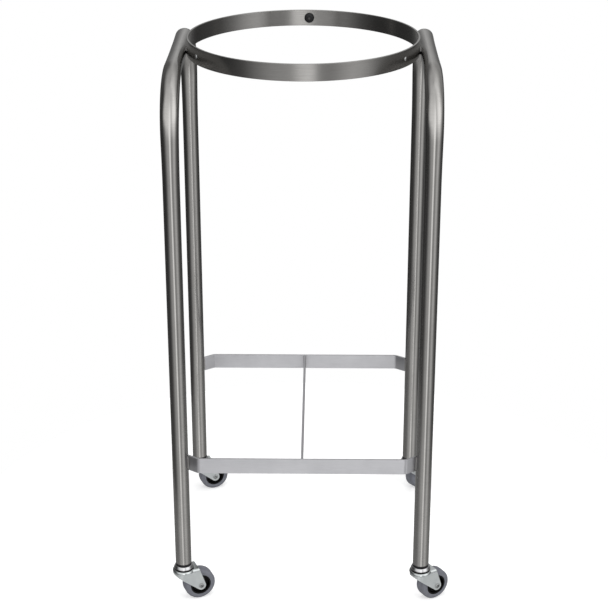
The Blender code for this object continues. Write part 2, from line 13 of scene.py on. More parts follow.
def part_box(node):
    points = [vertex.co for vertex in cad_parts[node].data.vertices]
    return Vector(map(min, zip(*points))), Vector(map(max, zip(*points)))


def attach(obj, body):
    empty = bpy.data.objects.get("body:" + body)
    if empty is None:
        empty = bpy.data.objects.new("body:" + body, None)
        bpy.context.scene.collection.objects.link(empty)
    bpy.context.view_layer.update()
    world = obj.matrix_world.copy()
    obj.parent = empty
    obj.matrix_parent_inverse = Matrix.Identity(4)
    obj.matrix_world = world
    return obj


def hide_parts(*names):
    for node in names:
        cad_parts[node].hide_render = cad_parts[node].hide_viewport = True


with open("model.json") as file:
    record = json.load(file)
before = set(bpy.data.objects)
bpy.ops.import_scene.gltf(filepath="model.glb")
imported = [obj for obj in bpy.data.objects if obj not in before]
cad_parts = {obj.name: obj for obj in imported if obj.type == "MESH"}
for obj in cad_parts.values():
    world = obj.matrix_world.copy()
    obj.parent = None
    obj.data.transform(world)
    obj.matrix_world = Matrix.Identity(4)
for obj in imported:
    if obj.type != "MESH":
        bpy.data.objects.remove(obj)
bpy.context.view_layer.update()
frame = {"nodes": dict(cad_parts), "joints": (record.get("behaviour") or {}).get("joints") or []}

# Side frames. Each is one length of round stainless tube, bent twice into an upturned U and cut square at
# its feet. The tube is polished round its girth, so the light on it runs along its length in streaks.
TUBE_DIAMETER = 0.0254
TUBE_WALL = 0.0012
BEND_RADIUS = 0.085             # at the tube's centre line
BEND_SPREAD = 0.0014            # how far the bending flattens the tube and spreads its sides
BEND_LEAD = 0.070               # length before and after a bend in which the tube comes back to round
TUBE_SIDES = 64
BEND_STEPS = 28
LEAD_STEPS = 12
SMOOTH_ANGLE = math.radians(32)
MERGE_DISTANCE = 1e-6
RELIEF_DEPTH = 0.0001           # height of a surface's finest relief at full strength
NOISE_LOW = 0.34                # the levels between which a noise mostly lies
NOISE_HIGH = 0.66
CLOUDY = {"Detail": 4.0, "Roughness": 0.55}
LINED = {"Detail": 3.0, "Roughness": 0.6}
CLOUDS_PER_METRE = 26.0
CLOUD_SHARE = 0.4               # share of the clouds beside the polishing lines
SHADES = {"Dark": "Color", "Light": "Color", "Smoothest": "Float", "Roughest": "Float"}
FINISH = {"Colour": "Color", "Roughness": "Float", "Height": "Float"}

tube_low, tube_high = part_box("left_side_frame")
tube_radius = TUBE_DIAMETER / 2
left_x = (tube_low.x + tube_high.x) / 2
right_x = sum(corner.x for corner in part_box("right_side_frame")) / 2
front_y = tube_low.y + tube_radius
rear_y = tube_high.y - tube_radius
stand_axis = Vector(((left_x + right_x) / 2, (front_y + rear_y) / 2, 0))
tube_foot = tube_low.z
top_bar_z = tube_high.z - tube_radius
bend_z = top_bar_z - BEND_RADIUS
leg_length = bend_z - tube_foot
top_length = rear_y - front_y - 2 * BEND_RADIUS
bend_length = BEND_RADIUS * math.pi / 2


def open_piece(name):
    """Names the primitive just added, puts its place into its mesh and opens it for editing, all selected."""
    piece = bpy.context.object
    piece.name = name
    bpy.ops.object.transform_apply(location=True, rotation=True, scale=True)
    bpy.ops.object.mode_set(mode="EDIT")
    bpy.ops.mesh.select_mode(type="VERT")
    bpy.ops.mesh.select_all(action="SELECT")
    return piece


def close_piece():
    """Merges doubled points, turns the faces outwards and ends the editing."""
    bpy.ops.mesh.select_all(action="SELECT")
    bpy.ops.mesh.remove_doubles(threshold=MERGE_DISTANCE)
    bpy.ops.mesh.normals_make_consistent(inside=False)
    bpy.ops.object.mode_set(mode="OBJECT")


def extend(step):
    """Draws the selected points, edges or faces out by a step."""
    bpy.ops.mesh.extrude_region_move(TRANSFORM_OT_translate={"value": step})


def apply_modifier(piece, kind, **settings):
    """Adds a modifier with these settings and applies it."""
    modifier = piece.modifiers.new(kind.lower(), kind)
    for setting, value in settings.items():
        setattr(modifier, setting, value)
    bpy.context.view_layer.objects.active = piece
    bpy.ops.object.modifier_apply(modifier=modifier.name)


def smooth(piece):
    """Shades round faces smooth and keeps the edges between them crisp."""
    bpy.ops.object.select_all(action="DESELECT")
    piece.select_set(True)
    bpy.context.view_layer.objects.active = piece
    bpy.ops.object.shade_smooth_by_angle(angle=SMOOTH_ANGLE)
    apply_modifier(piece, "WEIGHTED_NORMAL", keep_sharp=True)


def copy_piece(piece, name, place):
    """A copy with its own mesh, moved by a matrix that goes into the mesh."""
    twin = piece.copy()
    twin.name = name
    twin.data = piece.data.copy()
    twin.data.transform(place)
    bpy.context.collection.objects.link(twin)
    return twin


def dress(piece, material, body, slot, *nodes):
    """Gives a finished piece its material, sets it on its body and lets it stand for its solids."""
    piece.data.materials.clear()
    piece.data.materials.append(material)
    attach(piece, body)
    if nodes:
        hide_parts(*nodes)


def lay_surface(piece, place):
    """A UV map in metres: place gives a point's two distances and the length by which the second wraps."""
    layer = piece.data.uv_layers.new(name="surface")
    for face in piece.data.polygons:
        spots = [place(piece.data.vertices[index].co) for index in face.vertices]
        highest = max(spot[1] for spot in spots)
        for loop, (along, across, turn) in zip(face.loop_indices, spots):
            if highest - across > turn / 2:
                across += turn
            layer.data[loop].uv = (along, across)


def bend_tube(centre, start):
    """Bends the tube's open end a quarter turn in steps, and flattens it in the bend and near it."""
    lead = [BEND_LEAD / LEAD_STEPS] * LEAD_STEPS
    along = -BEND_LEAD
    wide = 1
    deep = 1
    for stride in lead + [bend_length / BEND_STEPS] * BEND_STEPS + lead:
        middle = along + stride / 2
        along += stride
        bent = min(max(along, 0), bend_length)
        angle = start + bent / BEND_RADIUS
        outwards = Vector((0, -math.cos(angle), math.sin(angle)))
        ahead = Vector((0, math.sin(angle), math.cos(angle)))
        if 0 < middle < bend_length:
            bpy.ops.mesh.spin(steps=1, angle=stride / BEND_RADIUS, center=centre, axis=(1, 0, 0))
        else:
            extend(stride * ahead)
        inside = min(along, bend_length - along)
        rise = min((inside + BEND_LEAD) / (2 * BEND_LEAD), 1)
        share = BEND_SPREAD / tube_radius * rise**2 * (3 - 2 * rise)
        bpy.ops.transform.resize(value=((1 + share) / wide, (1 - share) / deep, 1),
                                 orient_matrix=Matrix.Rotation(-angle, 3, "X"),
                                 constraint_axis=(True, True, False),
                                 center_override=centre + BEND_RADIUS * outwards + (along - bent) * ahead)
        wide = 1 + share
        deep = 1 - share


def on_tube(point):
    """Distance along the tube from its front foot, distance round it, and its girth."""
    side_x = left_x if point.x < stand_axis.x else right_x
    back = stand_axis.y - abs(point.y - stand_axis.y)
    bend_y = front_y + BEND_RADIUS
    if point.z <= bend_z:
        along = point.z - tube_foot
        out = front_y - back
    elif back < bend_y:
        angle = math.atan2(point.z - bend_z, bend_y - back)
        along = leg_length + BEND_RADIUS * angle
        out = math.hypot(point.z - bend_z, bend_y - back) - BEND_RADIUS
    else:
        along = leg_length + bend_length + back - bend_y
        out = point.z - top_bar_z
    if point.y > stand_axis.y:
        along = 2 * (leg_length + bend_length) + top_length - along
    return along, tube_radius * math.atan2(point.x - side_x, out), math.tau * tube_radius


def new_group(name, inputs):
    """An empty group for a surface's finish, with named sockets, and its input and output nodes."""
    group = bpy.data.node_groups.new(name, "ShaderNodeTree")
    for socket, kind in (inputs | SHADES).items():
        group.interface.new_socket(name=socket, in_out="INPUT", socket_type=f"NodeSocket{kind}")
    for socket, kind in FINISH.items():
        group.interface.new_socket(name=socket, in_out="OUTPUT", socket_type=f"NodeSocket{kind}")
    return group, group.nodes.new("NodeGroupInput"), group.nodes.new("NodeGroupOutput")


def add_node(tree, kind, settings=None, **inputs):
    """A shader node with its settings, its input values and the sockets that feed it."""
    node = tree.nodes.new(f"ShaderNode{kind}")
    for setting, value in (settings or {}).items():
        setattr(node, setting, value)
    for name, value in inputs.items():
        socket = node.inputs[int(name[1:])] if name[1:].isdigit() else node.inputs[name.replace("_", " ")]
        if isinstance(value, bpy.types.NodeSocket):
            tree.links.new(value, socket)
        else:
            socket.default_value = value
    return node


def shade_by(group, given, made, base, mark, share, relief):
    """Shades a group's colour and roughness by a mix of two noises, and passes on its relief."""
    both = add_node(group, "Mix", {"data_type": "FLOAT"}, _0=share, _2=base, _3=mark)
    shade = add_node(group, "MapRange", _0=both.outputs[0], _1=NOISE_LOW, _2=NOISE_HIGH)
    colour = add_node(group, "Mix", {"data_type": "RGBA"}, _0=shade.outputs[0], _6=given.outputs["Dark"],
                      _7=given.outputs["Light"])
    rough = add_node(group, "MapRange", _0=shade.outputs[0], _3=given.outputs["Roughest"],
                     _4=given.outputs["Smoothest"])
    group.links.new(colour.outputs[2], made.inputs["Colour"])
    group.links.new(rough.outputs[0], made.inputs["Roughness"])
    group.links.new(relief, made.inputs["Height"])


def polish_group():
    """Polishing lines in metal, which run along the second distance of the surface map."""
    group, given, made = new_group(
        "polish_lines", {"Surface": "Vector", "Lines per metre": "Float", "Line length": "Float"})
    along = add_node(group, "Math", {"operation": "DIVIDE"}, _0=1.0, _1=given.outputs["Line length"])
    scale = add_node(group, "CombineXYZ", X=given.outputs["Lines per metre"], Y=along.outputs[0], Z=1.0)
    stretched = add_node(group, "VectorMath", {"operation": "MULTIPLY"}, _0=given.outputs["Surface"],
                         _1=scale.outputs[0])
    lines = add_node(group, "TexNoise", Vector=stretched.outputs[0], Scale=1.0, **LINED)
    clouds = add_node(group, "TexNoise", Vector=given.outputs["Surface"], Scale=CLOUDS_PER_METRE, **CLOUDY)
    shade_by(group, given, made, lines.outputs[0], clouds.outputs[0], CLOUD_SHARE, lines.outputs[0])
    return group


def new_material(name):
    """An empty node material and its node tree."""
    material = bpy.data.materials.new(name)
    material.use_nodes = True
    return material, material.node_tree


def finish_by(tree, group, relief, **inputs):
    """Lets a group give a material's colour, roughness and relief, and returns the material's shader."""
    shader = tree.nodes["Principled BSDF"]
    surface = add_node(tree, "Group", {"node_tree": group}, **inputs)
    bump = add_node(tree, "Bump", Strength=relief, Distance=RELIEF_DEPTH, Height=surface.outputs["Height"])
    tree.links.new(surface.outputs["Colour"], shader.inputs["Base Color"])
    tree.links.new(surface.outputs["Roughness"], shader.inputs["Roughness"])
    tree.links.new(bump.outputs[0], shader.inputs["Normal"])
    return shader


def polished_metal(name, dark, light, smoothest, roughest, lines, length, stretch, relief):
    """Flat or round metal with polishing lines, whose highlights stretch across the lines."""
    material, tree = new_material(name)
    place = add_node(tree, "UVMap", {"uv_map": "surface"})
    tangent = add_node(tree, "Tangent", {"direction_type": "UV_MAP", "uv_map": "surface"})
    shader = finish_by(tree, polish_lines, relief, Surface=place.outputs[0], Lines_per_metre=lines,
                       Line_length=length, Dark=(*dark, 1), Light=(*light, 1), Smoothest=smoothest,
                       Roughest=roughest)
    shader.inputs["Metallic"].default_value = 1.0
    shader.inputs["Anisotropic"].default_value = stretch
    tree.links.new(tangent.outputs[0], shader.inputs["Tangent"])
    return material


polish_lines = polish_group()
tube_steel = polished_metal("tube_steel", (0.42, 0.41, 0.395), (0.50, 0.49, 0.475), 0.10, 0.16,
                            lines=1400, length=0.020, stretch=0.92, relief=0.08)

bpy.ops.object.select_all(action="DESELECT")
bpy.ops.mesh.primitive_circle_add(vertices=TUBE_SIDES, radius=tube_radius,
                                  location=(left_x, front_y, tube_foot))
left_tube = open_piece("left_tube")
extend((0, 0, leg_length - BEND_LEAD))
bend_tube(Vector((left_x, front_y + BEND_RADIUS, bend_z)), 0)
extend((0, top_length - 2 * BEND_LEAD, 0))
bend_tube(Vector((left_x, rear_y - BEND_RADIUS, bend_z)), math.pi / 2)
extend((0, 0, BEND_LEAD - leg_length))
close_piece()
apply_modifier(left_tube, "SOLIDIFY", thickness=TUBE_WALL, offset=-1.0, use_even_offset=True)
smooth(left_tube)
right_tube = copy_piece(left_tube, "right_tube", Matrix.Translation((right_x - left_x, 0, 0)))
for tube, node in ((left_tube, "left_side_frame"), (right_tube, "right_side_frame")):
    lay_surface(tube, on_tube)
    dress(tube, tube_steel, "stand", "tube_steel", node)

# Brace. Three stainless flat bars on edge, in the shape of an H, tie the legs together low down. The two
# crossbars have their ends bent in, are cut to the tube's round and welded to it.
BAR_THICKNESS = 0.0032
BAR_EDGE = 0.00045              # rounding of the rolled bar's edges
EDGE_STEPS = 3
SHARP_ANGLE = math.radians(50)  # an edge sharper than this is rounded
CROSSBAR_END_RUN = 0.0165       # bent end, from its bend to the tube
CROSSBAR_END_SPARE = 1.5        # its length before the cut to the tube's round, over that after it
CROSSBAR_END_ANGLE = math.radians(35)
CROSSBAR_BEND_RADIUS = 0.009
CROSSBAR_BEND_STEPS = 10
COPE_GAP = 0.0003               # bar's end to the tube, filled by the weld

bar_low, bar_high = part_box("front_crossbar")
bar_width = bar_high.z - bar_low.z
brace_z = (bar_low.z + bar_high.z) / 2
crossbar_y = bar_low.y + BAR_THICKNESS / 2
crossbar_corner = stand_axis.x - left_x - tube_radius - CROSSBAR_END_RUN
crossbar_half = crossbar_corner - CROSSBAR_BEND_RADIUS * math.tan(CROSSBAR_END_ANGLE / 2)
uncut_run = CROSSBAR_END_SPARE * CROSSBAR_END_RUN


def pick(kind, test):
    """In edit mode, selects just the verts, edges or faces whose corners all pass a test of their place."""
    mesh = bpy.context.object.data
    bpy.ops.mesh.select_mode(type={"verts": "VERT", "edges": "EDGE", "faces": "FACE"}[kind])
    bpy.ops.mesh.select_all(action="DESELECT")
    shape = bmesh.from_edit_mesh(mesh)
    for item in getattr(shape, kind):
        corners = [item] if kind == "verts" else item.verts
        if all(test(corner.co) for corner in corners):
            item.select_set(True)
    bmesh.update_edit_mesh(mesh)


def combine(piece, tool, operation):
    """Cuts a piece with a tool, joins the two or keeps what they share. The tool is used up."""
    apply_modifier(piece, "BOOLEAN", object=tool, operation=operation, solver="MANIFOLD")
    bpy.data.objects.remove(tool)


def on_bar(point):
    """Distance over the bar's width, and along it."""
    return point.z, point.x + point.y, math.inf


bar_steel = polished_metal("bar_steel", (0.53, 0.53, 0.55), (0.60, 0.60, 0.62), 0.38, 0.45,
                           lines=2200, length=0.030, stretch=0.85, relief=0.05)

bpy.ops.mesh.primitive_cube_add(size=1, location=(stand_axis.x, crossbar_y, brace_z),
                                scale=(2 * crossbar_half, BAR_THICKNESS, bar_width))
front_bar = open_piece("front_bar")
for side in (1, -1):
    end_x = stand_axis.x + side * crossbar_half
    pick("faces", lambda place: abs(place.x - end_x) < MERGE_DISTANCE)
    bpy.ops.mesh.spin(steps=CROSSBAR_BEND_STEPS, angle=side * -CROSSBAR_END_ANGLE,
                      center=(end_x, crossbar_y + CROSSBAR_BEND_RADIUS, brace_z), axis=(0, 0, 1))
    extend((side * math.cos(CROSSBAR_END_ANGLE) * uncut_run, math.sin(CROSSBAR_END_ANGLE) * uncut_run, 0))
close_piece()
for side_x in (left_x, right_x):
    bpy.ops.mesh.primitive_cylinder_add(vertices=TUBE_SIDES, radius=tube_radius + COPE_GAP,
                                        depth=2 * bar_width, location=(side_x, front_y, brace_z))
    combine(front_bar, bpy.context.object, "DIFFERENCE")
apply_modifier(front_bar, "BEVEL", width=BAR_EDGE, segments=EDGE_STEPS, limit_method="ANGLE",
               angle_limit=SHARP_ANGLE)
smooth(front_bar)
half_turn = (Matrix.Translation(stand_axis) @ Matrix.Rotation(math.pi, 4, "Z")
             @ Matrix.Translation(-stand_axis))
rear_bar = copy_piece(front_bar, "rear_bar", half_turn)

centre_low, centre_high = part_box("centre_bar")
bpy.ops.mesh.primitive_cube_add(size=1, location=(centre_low + centre_high) / 2,
                                scale=centre_high - centre_low)
middle_bar = open_piece("middle_bar")
bpy.ops.mesh.bevel(offset=BAR_EDGE, segments=EDGE_STEPS, affect="EDGES")
close_piece()
smooth(middle_bar)
for bar, node in ((front_bar, "front_crossbar"), (rear_bar, "rear_crossbar"), (middle_bar, "centre_bar")):
    lay_surface(bar, on_bar)
    dress(bar, bar_steel, "stand", "bar_steel", node)

# Brace welds. The crossbars are welded to the tubes and the centre bar to the crossbars. A short rippled bead
# of stainless weld metal runs down each side of every joint.
CROSSBAR_BEAD = 0.0013          # radius of a bead at the tube
CENTRE_BEAD = 0.0007            # radius of a bead at the centre bar
BEAD_STEP = 0.0016              # one ripple
BEAD_RIPPLE = 0.86              # a ripple's waist over its crest
BEAD_TIP = 0.45                 # a bead's end over its crest
BEAD_SIDES = 10
BEAD_MARGIN = 0.0012            # bead's end, in from the bar's edge
GRAINY = {"Detail": 2.0, "Roughness": 0.6}
GRAIN_SHARE = 0.35              # share of the grain beside the patches
PLAIN_SPECULAR = 0.5            # reflection level of most surfaces that aren't metal


def mottle_group():
    """Soft patches and a fine grain, for plated, moulded and welded surfaces."""
    group, given, made = new_group(
        "mottle", {"Place": "Vector", "Patch size": "Float", "Grain size": "Float"})
    place = given.outputs["Place"]
    patch_scale = add_node(group, "Math", {"operation": "DIVIDE"}, _0=1.0, _1=given.outputs["Patch size"])
    grain_scale = add_node(group, "Math", {"operation": "DIVIDE"}, _0=1.0, _1=given.outputs["Grain size"])
    patches = add_node(group, "TexNoise", Vector=place, Scale=patch_scale.outputs[0], **CLOUDY)
    grain = add_node(group, "TexNoise", Vector=place, Scale=grain_scale.outputs[0], **GRAINY)
    shade_by(group, given, made, patches.outputs[0], grain.outputs[0], GRAIN_SHARE, grain.outputs[0])
    return group


def mottled(name, dark, light, smoothest, roughest, patch, grain, relief, metallic=0.0,
            specular=PLAIN_SPECULAR):
    """A plated, moulded or welded surface, patched and grained in the piece's own place."""
    material, tree = new_material(name)
    place = add_node(tree, "TexCoord")
    shader = finish_by(tree, mottle, relief, Place=place.outputs["Object"], Patch_size=patch,
                       Grain_size=grain, Dark=(*dark, 1), Light=(*light, 1), Smoothest=smoothest,
                       Roughest=roughest)
    shader.inputs["Metallic"].default_value = metallic
    shader.inputs["Specular IOR Level"].default_value = specular
    return material


mottle = mottle_group()


def weld_bead(name, path, radius):
    """A bead along a path: a round section drawn out step by step, wider and narrower by turns."""
    bpy.ops.object.select_all(action="DESELECT")
    bpy.ops.mesh.primitive_circle_add(vertices=BEAD_SIDES, radius=radius * BEAD_TIP, fill_type="NGON",
                                      location=path[0],
                                      rotation=(path[1] - path[0]).to_track_quat("Z", "Y").to_euler())
    bead = open_piece(name)
    size = BEAD_TIP
    for step, (here, there) in enumerate(zip(path, path[1:]), 1):
        extend(there - here)
        next_size = BEAD_RIPPLE if step % 2 else 1
        if step == len(path) - 1:
            next_size = BEAD_TIP
        bpy.ops.transform.resize(value=[next_size / size] * 3, center_override=there)
        size = next_size
    close_piece()
    apply_modifier(bead, "SUBSURF", levels=1, render_levels=1)
    smooth(bead)
    return bead


def upright_bead(name, radius):
    """A bead along Z, as tall as a bar is wide, about the brace's height."""
    half = bar_width / 2 - BEAD_MARGIN
    steps = round(2 * half / BEAD_STEP)
    path = [Vector((0, 0, brace_z - half + 2 * half * step / steps)) for step in range(steps + 1)]
    return weld_bead(name, path, radius)


def joint_sides(sense):
    """Where a crossbar's bent end meets the right tube, seen from above, on its outer or its inner face."""
    along = Vector((math.cos(CROSSBAR_END_ANGLE), math.sin(CROSSBAR_END_ANGLE), 0))
    outwards = Vector((along.y, -along.x, 0))
    corner = Vector((stand_axis.x + crossbar_corner, crossbar_y, 0))
    to_tube = Vector((right_x, front_y, 0)) - corner
    face = sense * BAR_THICKNESS / 2
    aside = outwards.dot(to_tube) - face
    return corner + along * (along.dot(to_tube) - math.sqrt(tube_radius**2 - aside**2)) + outwards * face


weld_steel = mottled("weld_steel", (0.40, 0.39, 0.38), (0.54, 0.53, 0.52), 0.28, 0.48,
                     patch=0.003, grain=0.0005, relief=0.30, metallic=1.0)
mirror_x = Matrix.Translation(2 * stand_axis.x * Vector((1, 0, 0))) @ Matrix.Scale(-1, 4, (1, 0, 0))
crossbar_bead = upright_bead("crossbar_bead", CROSSBAR_BEAD)
for face, sense in (("outer", 1), ("inner", -1)):
    right = Matrix.Translation(joint_sides(sense))
    left = Matrix.Translation(mirror_x @ joint_sides(sense))
    for spot, place in (("front_right", right), ("front_left", left), ("rear_left", half_turn @ right),
                        ("rear_right", half_turn @ left)):
        bead = copy_piece(crossbar_bead, f"{spot}_{face}_weld", place)
        dress(bead, weld_steel, "stand", "bar_steel")
centre_bead = upright_bead("centre_bead", CENTRE_BEAD)
for end, end_y in (("front", centre_low.y), ("rear", centre_high.y)):
    for side, side_x in (("left", centre_low.x), ("right", centre_high.x)):
        bead = copy_piece(centre_bead, f"centre_{end}_{side}_weld", Matrix.Translation((side_x, end_y, 0)))
        dress(bead, weld_steel, "stand", "bar_steel")
for pattern in (crossbar_bead, centre_bead):
    bpy.data.objects.remove(pattern)

# Ring. A stainless flat bar on edge, rolled into a hoop and brushed along its length. It stands between the
# side frames and is welded to their top bars.
RING_THICKNESS = 0.0032
RING_EDGE = 0.0005
RING_STEPS = 192

ring_low, ring_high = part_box("basin_ring")
ring_axis = (ring_low + ring_high) / 2
ring_outer = (ring_high.x - ring_low.x) / 2
ring_height = ring_high.z - ring_low.z


def on_ring(point):
    """Distance over the ring's height, distance round it, and its length."""
    arm = point - ring_axis
    return arm.z, ring_outer * math.atan2(arm.y, arm.x), math.tau * ring_outer


ring_steel = polished_metal("ring_steel", (0.32, 0.312, 0.30), (0.40, 0.392, 0.38), 0.19, 0.24,
                            lines=1300, length=0.050, stretch=0.3, relief=0.05)

bpy.ops.mesh.primitive_plane_add(size=1, location=ring_axis + Vector((ring_outer - RING_THICKNESS / 2, 0, 0)),
                                 rotation=(math.pi / 2, 0, 0))
bpy.context.object.scale = (RING_THICKNESS, ring_height, 1)
hoop = open_piece("hoop")
bpy.ops.mesh.bevel(offset=RING_EDGE, segments=EDGE_STEPS, affect="VERTICES")
bpy.ops.mesh.select_all(action="SELECT")
bpy.ops.mesh.delete(type="ONLY_FACE")
bpy.ops.mesh.select_all(action="SELECT")
bpy.ops.mesh.spin(steps=RING_STEPS, angle=math.tau, center=ring_axis, axis=(0, 0, 1))
close_piece()
smooth(hoop)
lay_surface(hoop, on_ring)
dress(hoop, ring_steel, "stand", "ring_steel", "basin_ring")

# Ring welds. The ring's outer face lies against the top bars. On each side two beads of stainless weld metal
# join them, one in the groove above the bar and one along the ring's lower edge.
RING_BEAD = 0.0015
RING_BEAD_HALF_ANGLE = math.radians(4.6)
RING_BEAD_STEPS = 16
RING_BEAD_RISE = 0.0052         # upper bead over the tube's centre line
RING_BEAD_DROP = 0.0004         # lower bead under the ring's lower edge

for side, middle in (("left", math.pi), ("right", 0)):
    for level, reach, height in (("upper", ring_outer + RING_BEAD / 2, top_bar_z + RING_BEAD_RISE),
                                 ("lower", ring_outer - RING_BEAD / 2, ring_low.z - RING_BEAD_DROP)):
        angles = [middle + RING_BEAD_HALF_ANGLE * (2 * step / RING_BEAD_STEPS - 1)
                  for step in range(RING_BEAD_STEPS + 1)]
        path = [Vector((ring_axis.x + reach * math.cos(angle), ring_axis.y + reach * math.sin(angle), height))
                for angle in angles]
        dress(weld_bead(f"ring_{side}_{level}_weld", path, RING_BEAD), weld_steel, "stand", "ring_steel")

# Bumpers. Black rubber domes on the ring's inner face keep the basin off the steel. Each is held by a plated
# rivet, whose round head shows outside the ring and whose set end lies in the dome's recess, under painted
# shade.
BUMPER_RADIUS = 0.0078
BUMPER_HEIGHT = 0.0065
BUMPER_DOME = 0.005             # rounding of its edge
BUMPER_RECESS_RADIUS = 0.0026
BUMPER_RECESS = 0.0015
BUMPER_RECESS_ROUND = 0.00015
RIVET_RADIUS = 0.0016
RIVET_HEAD_RADIUS = 0.003
RIVET_HEAD_HEIGHT = 0.0016
RIVET_HEAD_ROUND = 0.00128
RIVET_END_RADIUS = 0.0023
RIVET_END_HEIGHT = 0.0007
SMALL_ROUND = 0.0003            # broken edge of a small pressed or turned piece
ROUND_STEPS = 6
PIN_SIDES = 40
DULL_SPECULAR = 0.2             # reflection level of dull black rubber and plastic
RIVET_END_SHADE = (0.07, 0.07, 0.07, 1)    # painted shade on the rivet inside the ring, where its end sits in the dome's recess

ring_inner = ring_outer - RING_THICKNESS
bumper_base = ring_inner - BUMPER_RADIUS**2 / (2 * ring_inner)
rivet_seat = bumper_base - ring_outer
rivet_end = BUMPER_HEIGHT - BUMPER_RECESS


def turned(name, profile, sides):
    """A round piece turned about Z from corners of radius, height and rounding, on the axis or off it."""
    bpy.ops.mesh.primitive_plane_add(size=MERGE_DISTANCE, location=(profile[0][0], 0, profile[0][1]))
    piece = open_piece(name)
    bpy.ops.mesh.merge(type="CENTER")
    for (radius, height, _), (next_radius, next_height, _) in zip(profile, profile[1:]):
        bpy.ops.mesh.extrude_vertices_move(
            TRANSFORM_OT_translate={"value": (next_radius - radius, 0, next_height - height)})
    bpy.ops.mesh.select_all(action="SELECT")
    bpy.ops.mesh.edge_face_add()
    for radius, height, rounding in profile:
        if rounding:
            corner = Vector((radius, 0, height))
            pick("verts", lambda place: (place - corner).length < MERGE_DISTANCE)
            bpy.ops.mesh.bevel(offset=rounding, segments=ROUND_STEPS, affect="VERTICES")
    bpy.ops.mesh.select_all(action="SELECT")
    bpy.ops.mesh.delete(type="ONLY_FACE")
    pick("edges", lambda place: place.x < MERGE_DISTANCE)
    bpy.ops.mesh.delete(type="EDGE")
    bpy.ops.mesh.select_all(action="SELECT")
    bpy.ops.mesh.spin(steps=sides, angle=math.tau, center=(0, 0, 0), axis=(0, 0, 1))
    close_piece()
    smooth(piece)
    return piece


def paint_shade(material, measure, darkest, unshaded, colour):
    """Paints shade on a surface where a measure of its place is low. Towards a higher measure the painted
    shade fades out.
    """
    tree = material.node_tree
    shader = tree.nodes["Principled BSDF"]
    surface = shader.inputs["Base Color"].links[0].from_socket
    share = add_node(tree, "MapRange", {"interpolation_type": "SMOOTHSTEP"}, _0=measure, _1=darkest, _2=unshaded)
    mixed = add_node(tree, "Mix", {"data_type": "RGBA"}, _0=share.outputs[0], _6=colour, _7=surface)
    tree.links.new(mixed.outputs[2], shader.inputs["Base Color"])


black_rubber = mottled("black_rubber", (0.011, 0.011, 0.012), (0.020, 0.020, 0.021), 0.42, 0.60,
                       patch=0.004, grain=0.0004, relief=0.25, specular=DULL_SPECULAR)
bright_zinc = mottled("bright_zinc", (0.50, 0.515, 0.52), (0.61, 0.62, 0.615), 0.24, 0.38,
                      patch=0.010, grain=0.0005, relief=0.12, metallic=1.0)
rivet_zinc = bright_zinc.copy()
rivet_zinc.name = "rivet_zinc"
place = add_node(rivet_zinc.node_tree, "TexCoord")
reach = add_node(rivet_zinc.node_tree, "VectorMath", {"operation": "DISTANCE"}, _0=place.outputs["Object"],
                 _1=ring_axis)
# Painted shade: the rivet goes dark inside the ring's inner face, where its end lies in the dome's recess.
paint_shade(rivet_zinc, reach.outputs["Value"], ring_inner, ring_outer, RIVET_END_SHADE)

dome = turned("dome", [(RIVET_RADIUS, 0, 0), (BUMPER_RADIUS, 0, SMALL_ROUND),
                       (BUMPER_RADIUS, BUMPER_HEIGHT, BUMPER_DOME),
                       (BUMPER_RECESS_RADIUS, BUMPER_HEIGHT, BUMPER_RECESS_ROUND),
                       (BUMPER_RECESS_RADIUS, rivet_end, 0), (RIVET_RADIUS, rivet_end, 0)], PIN_SIDES)
rivet = turned("rivet", [(0, rivet_seat - RIVET_HEAD_HEIGHT, 0),
                         (RIVET_HEAD_RADIUS, rivet_seat - RIVET_HEAD_HEIGHT, RIVET_HEAD_ROUND),
                         (RIVET_HEAD_RADIUS, rivet_seat, 0), (RIVET_RADIUS, rivet_seat, 0),
                         (RIVET_RADIUS, rivet_end, 0), (RIVET_END_RADIUS, rivet_end, 0),
                         (RIVET_END_RADIUS, rivet_end + RIVET_END_HEIGHT, SMALL_ROUND),
                         (0, rivet_end + RIVET_END_HEIGHT, 0)], PIN_SIDES)
for spot in ("rear", "front_left", "front_right"):
    low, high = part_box(f"{spot}_bumper")
    arm = (low + high) / 2 - ring_axis
    angle = math.atan2(arm.y, arm.x)
    foot = ring_axis + bumper_base * Vector((math.cos(angle), math.sin(angle), 0))
    place = Matrix.Translation(foot) @ Matrix.Rotation(angle, 4, "Z") @ Matrix.Rotation(-math.pi / 2, 4, "Y")
    dress(copy_piece(dome, f"{spot}_bumper_dome", place), black_rubber, "stand", "bumper_rubber",
          f"{spot}_bumper")
    dress(copy_piece(rivet, f"{spot}_rivet", place), rivet_zinc, "stand", "zinc", f"{spot}_bumper_rivet")
for pattern in (dome, rivet):
    bpy.data.objects.remove(pattern)

# Caster stems. Each caster's stem goes up into the leg through a black rubber sleeve, which a nut squeezes
# until it grips the tube. Only the sleeve's collar shows, as a dark line under the tube's end.
STEM_BORE = 0.0053
COLLAR_DROP = 0.0008            # the squeezed collar, down over the top of the swivel head
COLLAR_ROUND = 0.0006
SLEEVE_GAP = 0.0003             # sleeve and collar to the tube
CORNERS = ("front_left", "front_right", "rear_left", "rear_right")
ROUND_SIDES = 72

joints = {joint["name"]: joint for joint in frame["joints"]}
legs = {}
headings = {}
for corner in CORNERS:
    legs[corner] = Vector((*joints[f"{corner}_swivel"]["pos_m"][:2], 0))
    trail = Vector((*joints[f"{corner}_roll"]["pos_m"][:2], 0)) - legs[corner]
    headings[corner] = math.atan2(trail.y, trail.x)
sleeve_low, sleeve_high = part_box("front_left_stem_sleeve")
collar_low = sleeve_low.z - COLLAR_DROP
collar_top = tube_foot - SLEEVE_GAP
grip_radius = tube_radius - TUBE_WALL - SLEEVE_GAP

